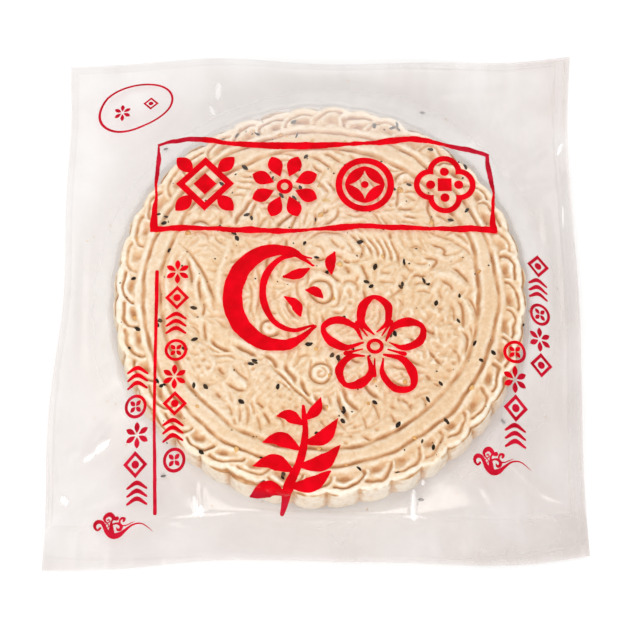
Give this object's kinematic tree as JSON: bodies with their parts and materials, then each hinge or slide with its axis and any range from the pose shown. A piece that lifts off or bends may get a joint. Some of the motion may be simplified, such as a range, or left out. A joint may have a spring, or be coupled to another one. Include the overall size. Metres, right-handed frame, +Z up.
{
  "type": "bagged mooncake",
  "caption": "Large round pressed mooncake with a scalloped rim, sealed in a flat clear film bag with a red print.",
  "frame": {"origin": "middle of the bag's outline, on the surface that the cake's flat underside lies on", "axes": "+Z up out of the cake's moulded top, +Y towards the top of the bag's front, +X to its right"},
  "size_m": [0.262, 0.2698, 0.0223],
  "materials": {
    "clear_film": "clear, slightly milky glossy film"
  },
  "bodies": {
    "root": {"sealed_bag": "clear_film"}
  },
  "joints": []
}
